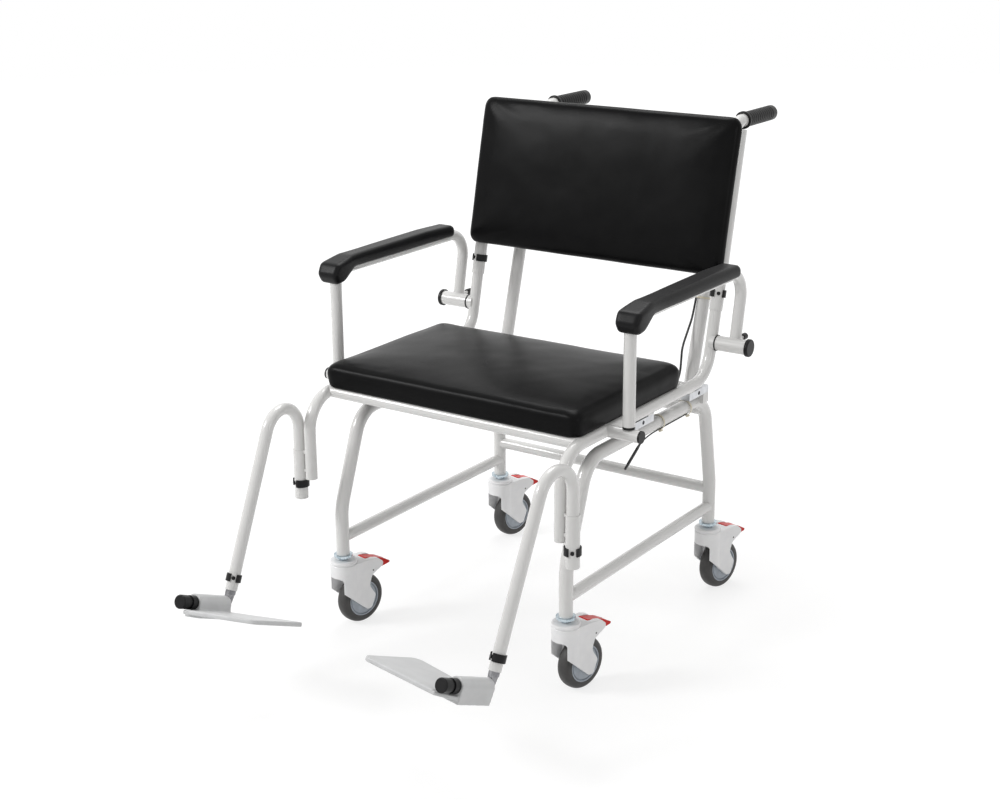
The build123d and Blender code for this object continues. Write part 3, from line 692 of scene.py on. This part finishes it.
# Castor forks
# Moulded white housings: a round head with a groove under its cap, two cheeks that reach down to the
# axle, an arch over the front of the tyre, and a tail between whose arms the brake pedal rocks.
def combine(piece, operation, *others):
    """Joins other bodies to a piece, takes them out of it, or keeps only what it shares with them."""
    for other in others:
        boolean = piece.modifiers.new("combine", "BOOLEAN")
        boolean.operation = operation
        boolean.solver = "EXACT"
        boolean.object = other
    settle(piece)
    for other in others:
        bpy.data.objects.remove(other)


def gather(piece, *others):
    """Puts other bodies' skins into a piece, so that one even skin then covers them all."""
    together = bmesh.new()
    together.from_mesh(piece.data)
    for other in others:
        together.from_mesh(other.data)
        bpy.data.objects.remove(other)
    together.to_mesh(piece.data)
    together.free()


def plate(outline, low, high):
    """Flat outline made thick along z."""
    return skin([[(x, y, z) for x, y in outline] for z in (low, high)])


def brick(name, low, high, finish):
    """Box between two corners."""
    plan = [(low[0], low[1]), (high[0], low[1]), (high[0], high[1]), (low[0], high[1])]
    return solid(name, plate(plan, low[2], high[2]), finish)


def drum(radius, low, high):
    """Plain round body about z."""
    return turned_body([(1, low), (radius, low), (radius, high), (1, high)], 96)


def on_axle(shape):
    """A body turned about z, laid along the castor's axle."""
    points, faces = shape
    return [(z, x + axle_y, y + axle_z) for x, y, z in points], faces


castor_white = mottled(
    "castor_white", (0.87, 0.87, 0.875), (0.84, 0.84, 0.85), patch=22, gloss=0.30, wander=0.06,
    Coat_Weight=0.15,
)
grained(castor_white, grain=1.0, depth=0.01)
axle_y = 37
axle_z = 49
cheek_half = 24
head_radius = 26
head_top = 131
stem_radius = 6.1
pedal_front = 44
pedal_half = 10.9
pin_y = 53
pin_z = 107


def fork_outline():
    """Side view of the fork, with y to its tail: the head's front, the foot, the tail and the top."""
    head_front = -30
    foot_low = 30
    tail_end = 78.5
    corners_and_radii = (
        ((head_front, head_top), 1),
        ((head_front, 87.3), 3),
        ((axle_y - 1, foot_low), 5),
        ((axle_y + 10, foot_low), 5),
        ((axle_y + 21, axle_z + 6), 8),
        ((axle_y + 6, axle_z + 29), 14),
        ((axle_y + 14, axle_z + 49), 9),
        ((tail_end - 7, pin_z + 0.5), 5),
        ((tail_end, pin_z + 5), 3),
        ((tail_end - 1, pin_z + 12), 4),
        ((tail_end - 10.5, head_top - 4), 6),
        ((58, head_top - 1.3), 10),
        ((34, head_top), 10),
    )
    return along(rounded(*zip(*reversed(corners_and_radii)), steps=6), spacing=1.5)[::-1]


def fork_plan():
    """What the fork fills as seen from above: the round head and, behind it, the cheeks."""
    low = 8
    high = 142
    piece = solid("plan", drum(head_radius, low, high), castor_white)
    cheeks = brick("cheeks", (-cheek_half, 0.4, low + 4), (cheek_half, 90, high - 4), castor_white)
    combine(piece, "UNION", cheeks)
    return piece


def mouth_room():
    """Opening between the cheeks in front, with round upper corners."""
    half = 19.8
    top = 106
    arch = rounded(((-half, 40), (half, 40), (half, top), (-half, top)), (1, 1, 8, 8))
    points, faces = plate(arch, -12, 33)
    return solid("mouth", ([(x, -z, y) for x, y, z in points], faces), castor_white)


def wheel_room():
    """Round space in which the wheel turns."""
    half = 15.3
    return solid("wheel_room", on_axle(drum(52, -half, half)), castor_white)


def pedal_room():
    """Space between the arms of the tail, in which the pedal rocks."""
    half = pedal_half + 1.1
    return brick("pedal_room", (-half, pedal_front - 1.5, 70), (half, 90, 150), castor_white)


def fork_form():
    """The fork in its own frame: x across, y to the castor's tail, z up from the floor."""
    piece = solid("fork_form", cheeked(fork_outline(), head_radius + 1, edge=1), castor_white)
    combine(piece, "INTERSECT", fork_plan())
    stem_room = solid("stem_room", turned_body([(stem_radius, 110), (stem_radius, 150)], 32), castor_white)
    combine(piece, "DIFFERENCE", mouth_room(), wheel_room(), pedal_room(), stem_room)
    neck = [(stem_radius, 129), (23.6, 129), (23.6, 134), (stem_radius, 134)]
    cap = [(stem_radius, 133.2), (26, 133.2), (26.5, 133.7)]
    cap += [(26.5, 136), (25.6, 138), (23.4, 139), (stem_radius, 139)]
    rings = [solid("ring", turned_body(profile, 96, closed=True), castor_white) for profile in (neck, cap)]
    gather(piece, *rings)
    even_skin(piece, cell=0.8)
    soften(piece, passes=3)
    piece.data.shade_smooth()
    return piece


corners = {"front_left": (-1, -1), "front_right": (1, -1), "rear_left": (-1, 1), "rear_right": (1, 1)}
castor_turn = math.radians(-12)
washer_radius = 18 * mm


def castor_place(corner):
    """Where a castor's own frame stands: on the floor under its leg, with its tail to the back."""
    side, end = corners[corner]
    x = side * (castors_high.x - washer_radius)
    y = middle_y + end * ((castors_high.y - castors_low.y) / 2 - washer_radius)
    return Matrix.Translation((x, y, 0)) @ Matrix.Rotation(castor_turn, 4, "Z")


def set_castors(form, name, body, slot, *nodes):
    """Puts one piece of the castors on all four corners, in place of the frame's own plain piece."""
    for corner in corners:
        piece = bpy.data.objects.new(f"{name}_{corner}", form.data)
        bpy.context.scene.collection.objects.link(piece)
        piece.matrix_world = castor_place(corner)
        for node in nodes:
            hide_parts(f"{node}_{corner}")
        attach(piece, f"{body}_{corner}")
    bpy.data.objects.remove(form)


def brake_shoe():
    """Black block between the cheeks, over the tyre, and the ends of the pin that the pedal rocks on."""
    half = 10.5
    pin_radius = 1.6
    piece = brick("brake_shoe", (-half, 56, 95.6), (half, 67.5, 100.2), plastic_black)
    points, faces = turned_body([(pin_radius, cheek_half - 4), (pin_radius, cheek_half + 0.2)], 24)
    for side in (1, -1):
        turned = [(side * z, x + pin_y, y + pin_z) for x, y, z in points]
        gather(piece, solid("pin_end", (turned, faces), plastic_black))
    return piece


set_castors(fork_form(), "castor_horn", "castor", "castor_white", "castor_fork")
set_castors(brake_shoe(), "brake_shoe", "castor", "black_plastic")


# Castor wheels
# A grey rubber tyre with a rounded tread on a grey plastic centre. The centre has a light rim, a dark
# groove inside it and a smooth, slightly domed cover.
tyre_grey = mottled(
    "tyre_grey", (0.058, 0.056, 0.055), (0.044, 0.043, 0.042), patch=18, gloss=0.48, wander=0.07,
    Specular_IOR_Level=0.35,
)
grained(tyre_grey, grain=0.7, depth=0.03)
rim_grey = mottled("rim_grey", (0.39, 0.43, 0.48), (0.34, 0.375, 0.42), patch=12, gloss=0.34, wander=0.06)
grained(rim_grey, grain=0.5, depth=0.01)
wheel_radius = 49
hub_radius = 35
tyre_half = 14


def tyre_profile():
    """Rounded tread over straight walls, as (radius, place across the wheel) points."""
    steps = 24
    bead = (hub_radius - 1, tyre_half - 1)
    profile = [(bead[0], -bead[1])]
    for step in range(steps + 1):
        turn = math.pi * step / steps
        across = -math.cos(turn)
        reach = (wheel_radius - hub_radius) * math.sin(turn) ** 0.62
        profile.append((hub_radius + reach, tyre_half * math.copysign(abs(across) ** 0.8, across)))
    return profile + [bead]


def hub_profile():
    """Light rim, groove, domed cover and axle boss, as (radius, place across the wheel) points."""
    half = [(35.2, 12.9), (34.6, 13.5), (32.6, 13.5), (32, 13)]
    half += [(31.6, 10.4), (30.4, 10.4)]
    half += [(30, 12.4), (28, 12.8), (20, 13.6), (13.5, 14)]
    half += [(13, 14.9), (8, 14.9)]
    return [(radius, -across) for radius, across in reversed(half)] + half


tyre_form = solid("tyre_form", on_axle(turned_body(tyre_profile(), 96, closed=True)), tyre_grey)
set_castors(tyre_form, "tyre", "wheel", "tyre_grey", "castor_tyre")
hub_form = solid("hub_form", on_axle(turned_body(hub_profile(), 96, closed=True)), rim_grey, sharp=30)
set_castors(hub_form, "hub", "wheel", "hub_grey", "castor_hub")


# Brake pedals
# A red moulded lever that rocks on a pin between the arms of each fork, with its toe sloping down
# behind them for the foot.
pedal_red = mottled(
    "pedal_red", (0.64, 0.010, 0.004), (0.54, 0.008, 0.003), patch=20, gloss=0.36, wander=0.05,
    Specular_IOR_Level=0.25,
)
grained(pedal_red, grain=0.6, depth=0.015)


def pedal_form():
    """The pedal in the castor's frame: a lever over the pin, with a toe that slopes down behind."""
    corners_and_radii = (
        ((pedal_front, 131.2), 1.5),
        ((pedal_front + 18, 126.4), 30),
        ((pedal_front + 38, 120.4), 30),
        ((pedal_front + 61.5, pin_z + 0.5), 1.4),
        ((pedal_front + 60, pin_z - 2.5), 1.4),
        ((pedal_front + 42, pin_z - 5), 3),
        ((pedal_front + 36, pin_z - 2), 3),
        ((pedal_front + 6, pin_z - 1), 3),
        ((pedal_front, pin_z + 5), 3),
    )
    outline = along(rounded(*zip(*reversed(corners_and_radii)), steps=6), spacing=1.2)[::-1]
    piece = solid("pedal", cheeked(outline, pedal_half, edge=1.4), pedal_red)
    even_skin(piece, cell=0.7)
    soften(piece, passes=2)
    piece.data.shade_smooth()
    return piece


set_castors(pedal_form(), "pedal", "brake", "pedal_red", "brake_pedal")


# Castor bolts
# Steel washers and nuts clamp each castor to its leg. They are zinc plated, and the plating has a
# bluish passivated skin.
zinc_blue = mottled(
    "zinc_blue", (0.60, 0.68, 0.73), (0.40, 0.48, 0.53), patch=7, gloss=0.28, wander=0.08,
    Metallic=0.9,
)
grained(zinc_blue, grain=0.6, depth=0.02)
dress(["castor_bolts"], zinc_blue)


# Leg rests
# Each hooked tube holds a plated stem with a wedge at its foot. The stem carries a light grey moulded
# footplate that folds about it, and a round black knob ends its shaft.
stem_steel = mottled(
    "stem_steel", (0.30, 0.30, 0.31), (0.20, 0.20, 0.21), patch=9, gloss=0.32, wander=0.08,
    Metallic=0.9,
)
grained(stem_steel, grain=0.5, depth=0.02)
dress([f"footrest_stem_{side}" for side in sides], stem_steel)
plate_grey = mottled(
    "plate_grey", (0.60, 0.605, 0.61), (0.56, 0.565, 0.57), patch=35, gloss=0.42, wander=0.07
)
grained(plate_grey, grain=0.9, depth=0.02)


def softened(node, cell, passes, finish):
    """A piece of the frame with its own shape and softly rounded edges."""
    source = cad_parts[node]
    mesh = source.data.copy()
    mesh.materials.clear()
    mesh.materials.append(finish)
    welded = bmesh.new()
    welded.from_mesh(mesh)
    bmesh.ops.remove_doubles(welded, verts=welded.verts, dist=0.001 * mm)
    welded.to_mesh(mesh)
    welded.free()
    piece = bpy.data.objects.new(f"{node}_moulded", mesh)
    bpy.context.scene.collection.objects.link(piece)
    piece.matrix_world = source.matrix_world
    even_skin(piece, cell)
    soften(piece, passes)
    piece.data.shade_smooth()
    return piece


for side in ("left", "right"):
    plate_piece = softened(f"footplate_{side}", cell=1.2, passes=3, finish=plate_grey)
    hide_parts(f"footplate_{side}")
    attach(plate_piece, f"foot_{side}")


# Indicator
# The scale's display, on a steel bracket between the push posts, faces whoever pushes the chair and
# tilts. Its case is moulded in pale grey, with a sunk screen and six rubber keys.
case_white = mottled(
    "case_white", (0.74, 0.745, 0.75), (0.71, 0.715, 0.72), patch=60, gloss=0.36, wander=0.05
)
grained(case_white, grain=0.7, depth=0.015)
dress(["indicator_rear", "indicator_front"], case_white)
screen_light = mottled(
    "screen_light", (0.80, 0.82, 0.84), (0.78, 0.80, 0.82), patch=40, gloss=0.12, wander=0.03
)
grained(screen_light, grain=30, depth=0.01)
dress(["indicator_screen"], screen_light)
key_green = mottled("key_green", (0.012, 0.60, 0.24), (0.010, 0.54, 0.21), patch=9, gloss=0.45, wander=0.06)
grained(key_green, grain=0.5, depth=0.01)
key_grey = mottled("key_grey", (0.12, 0.125, 0.135), (0.10, 0.105, 0.115), patch=9, gloss=0.45, wander=0.06)
grained(key_grey, grain=0.5, depth=0.01)
dress(["indicator_key_1"], key_green)
dress([f"indicator_key_{number}" for number in range(2, 7)], key_grey)
dress(["indicator_bracket"], powder_white)

# The display shows plain bars, a reading and small signs, and the keys carry a power sign and short
# bars. They are printed, so each is a skin a tenth of a millimetre thick.
tilt = math.radians(20)
face_middle = Vector((0, middle_y + 339 * mm, 800 * mm))
face_place = local_frame(face_middle, (-1, 0, 0), (0, math.cos(tilt), math.sin(tilt)))
screen_x = -11.5
screen_y = 0.4
screen_top = 83.25
key_top = 85.05
print_thick = 0.1
key_pitch = (17.5, 19.2)
first_key = (84.2, 20)


def printed(name, finish, bars, rings=(), base=screen_top, origin=(screen_x, screen_y)):
    """Flat print of bars (x, y, wide, tall) and rings (x, y, radius, line, first turn, last turn)."""
    low_z = base - 0.02
    high_z = base + print_thick
    steps = 24
    pieces = []
    for x, y, wide, tall in bars:
        left = origin[0] + x - wide / 2
        foot = origin[1] + y - tall / 2
        pieces.append(brick(name, (left, foot, low_z), (left + wide, foot + tall, high_z), finish))
    for x, y, radius, line, first, last in rings:
        turns = [2 * math.pi * (first + (last - first) * step / steps) for step in range(steps + 1)]
        for start, end in zip(turns, turns[1:]):
            rim = ((start, radius), (start, radius + line), (end, radius + line), (end, radius))
            outline = []
            for turn, reach in rim:
                across = origin[0] + x + reach * math.cos(turn)
                outline.append((across, origin[1] + y + reach * math.sin(turn)))
            pieces.append(solid(name, plate(outline, low_z, high_z), finish))
    piece = pieces[0]
    gather(piece, *pieces[1:])
    piece.data.transform(face_place)
    return piece


def mount_print(piece, body):
    """Lets a print move with what it is printed on."""
    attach(piece, body)


def plain_paint(name, colour):
    """Even print colour with a slight drift of tone."""
    return mottled(name, colour, tuple(0.93 * part for part in colour), patch=8, gloss=0.30, wander=0.04)


print_red = plain_paint("print_red", (0.62, 0.035, 0.02))
print_blue = plain_paint("print_blue", (0.012, 0.09, 0.33))
print_cream = plain_paint("print_cream", (0.80, 0.72, 0.36))
print_dark = plain_paint("print_dark", (0.015, 0.016, 0.02))
print_green = plain_paint("print_green", (0.05, 0.42, 0.12))
print_pale = plain_paint("print_pale", (0.62, 0.64, 0.66))
title_x = -20.2
title_wide = 67
title_y = 26.7
line_y = 18.2
sign_x = 17.3
small_y = 25.4
field_x = -25.9
field_y = -12.5
field_wide = 44
field_tall = 5.4
frame_line = 0.4
wave_line = 0.6
red_bars = [(title_x, title_y, title_wide, 8)]
mount_print(printed("field_red", print_red, red_bars), "indicator")
cream_bars = [(title_x, line_y, title_wide, 7.4), (field_x, -19.8, field_wide, 8.6)]
mount_print(printed("field_cream", print_cream, cream_bars), "indicator")
blue_bars = [(20.6, 10.5, 18.6, 4.8), (40.4, 10.5, 17, 4.8)]
blue_bars += [(25.5, field_y, field_wide, field_tall), (0, -29.1, 107, 6.4)]
blue_rings = [(27, small_y, 1.9, wave_line, 0, 1)]
blue_rings += [(36.5, 23.6, radius, wave_line, 0.08, 0.42) for radius in (1.4, 2.8, 4.2)]
mount_print(printed("field_blue", print_blue, blue_bars, blue_rings), "indicator")
mount_print(printed("field_green", print_green, [(47.5, small_y, 4.6, 2.6)]), "indicator")
pale_bars = [(sign_x, title_y, 6.4, 7), (sign_x, line_y, 6.4, 6.6), (-18.5, 9.4, 7, 4.6)]
mount_print(printed("field_pale", print_pale, pale_bars), "indicator")
dark_bars = []
for side in (-1, 1):
    for number in range(4):
        dark_bars.append((side * 25.7 + 5.2 * (number - 2) + 2.6, -20.4, 3, 0.7))
for side in (-1, 1):
    dark_bars.append((field_x, field_y + side * 2.6, field_wide, frame_line))
for side in (-1, 1):
    dark_bars.append((field_x + side * field_wide / 2, field_y, frame_line, field_tall))
dark_rings = [(-47.3, 4.9, 1.3, 0.7, 0, 1)]
mount_print(printed("field_dark", print_dark, dark_bars, dark_rings), "indicator")


def reading():
    """The weight shown, as plain figures."""
    figures = bpy.data.curves.new("reading", "FONT")
    figures.body = "0.0"
    figures.size = 22 * mm
    figures.offset = 0.35 * mm
    figures.extrude = print_thick / 2 * mm
    figures.align_x = "CENTER"
    figures.align_y = "CENTER"
    figures.materials.append(print_dark)
    drawn = bpy.data.objects.new("reading", figures)
    bpy.context.scene.collection.objects.link(drawn)
    bpy.context.view_layer.update()
    seen = drawn.evaluated_get(bpy.context.evaluated_depsgraph_get())
    mesh = bpy.data.meshes.new_from_object(seen)
    bpy.data.objects.remove(drawn)
    piece = bpy.data.objects.new("reading_figures", mesh)
    bpy.context.scene.collection.objects.link(piece)
    middle = Vector((screen_x + 28, screen_y - 1.5, screen_top)) * mm
    piece.data.transform(face_place @ Matrix.Translation(middle))
    return piece


mount_print(reading(), "indicator")
for number in range(1, 7):
    row, column = divmod(number - 1, 2)
    place = (first_key[0] + key_pitch[0] * column, first_key[1] - key_pitch[1] * row)
    bars = [(0, 1.4 - 2.8 * line, 8 - 1.6 * (number % 3), 1.1) for line in range(1 + number % 2)]
    rings = []
    if number == 1:
        bars = [(0, 2.2, 0.7, 3.2)]
        rings = [(0, 0, 2.6, 0.7, 0.33, 1.17)]
    sign = printed(f"key_sign_{number}", print_pale, bars, rings, key_top, place)
    mount_print(sign, f"key_{number}")


# Cords
# A black cable runs from a load cell to the indicator, tied up the right post, and a thin power lead
# hangs under the right top rail with a slim plug at its end.
cord_black = mottled(
    "cord_black", (0.013, 0.013, 0.0135), (0.009, 0.009, 0.0095), patch=12, gloss=0.40, wander=0.07
)
grained(cord_black, grain=0.6, depth=0.02)


def run_cord(name, points, diameter):
    """Round cord on one smooth curve, steered by points in millimetres from the middle of the wheels."""
    curve = bpy.data.curves.new(name, "CURVE")
    curve.dimensions = "3D"
    curve.bevel_depth = diameter / 2 * mm
    curve.bevel_resolution = 5
    curve.resolution_u = 16
    curve.use_fill_caps = True
    spline = curve.splines.new("NURBS")
    spline.points.add(len(points) - 1)
    for control, (x, y, z) in zip(spline.points, points):
        control.co = (x * mm, middle_y + y * mm, z * mm, 1)
    spline.order_u = 3
    spline.use_endpoint_u = True
    curve.materials.append(cord_black)
    cord = bpy.data.objects.new(name, curve)
    bpy.context.scene.collection.objects.link(cord)
    return cord


def post_y(z):
    """Where the push post's axis is at a height."""
    return 283 + 0.28 * (z - 600)


def beside_post(z):
    """Where the cable touches the inner front of the right post."""
    return (207.5, post_y(z) - 11, z)


cable_points = [
    (254.5, 170, 447.5),
    (236, 172, 448),
    (217, 184, 446),
    (207, 205, 450),
    (205, 220, 466),
    (206, 221, 492),
    (206, 223, 514),
    (206, 242, 540),
    beside_post(575),
    beside_post(745),
    (199, 324, 770),
    (178, 331, 778),
    (158, 338, 781),
    (152, post_y(800), 789.5),
]
scale_cable = run_cord("cell_cable", cable_points, 4.4)
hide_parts("scale_cable")
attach(scale_cable, "frame")

lead_points = [
    (238, 212.8, 398),
    (241, 198, 399),
    (249, 178, 405),
    (258, 150, 408.6),
    (258, 48, 408.6),
    (258, 12, 408),
    (258, -22, 402),
    (258, -29, 397.6),
]
lead = run_cord("charging_lead", lead_points, 2.6)
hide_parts("power_lead")
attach(lead, "frame")


def lead_plug():
    """Slim round plug with a tapered neck and a stepped tip, in line with the lead's end."""
    start = Vector((258, -22, 402))
    end = Vector((258, -78, 367))
    long = (end - start).length
    radius = 2.75
    tip_radius = 2.3
    tip_long = 11
    profile = [(1.3, 0), (1.9, 0.6), (2.2, 9), (2.6, 12), (radius, 14)]
    profile += [(radius, long - tip_long - 1), (tip_radius, long - tip_long), (tip_radius, long)]
    piece = solid("lead_plug", turned_body(profile, 32), cord_black)
    turn = (end - start).to_track_quat("Z", "X").to_matrix().to_4x4()
    place = Vector((start.x * mm, middle_y + start.y * mm, start.z * mm))
    piece.data.transform(Matrix.Translation(place) @ turn)
    return piece


plug = lead_plug()
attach(plug, "frame")
nylon_tie = mottled(
    "nylon_tie", (0.74, 0.69, 0.55), (0.68, 0.62, 0.48), patch=5, gloss=0.35, wander=0.06
)
grained(nylon_tie, grain=0.4, depth=0.01)
dress(["cable_ties"], nylon_tie)
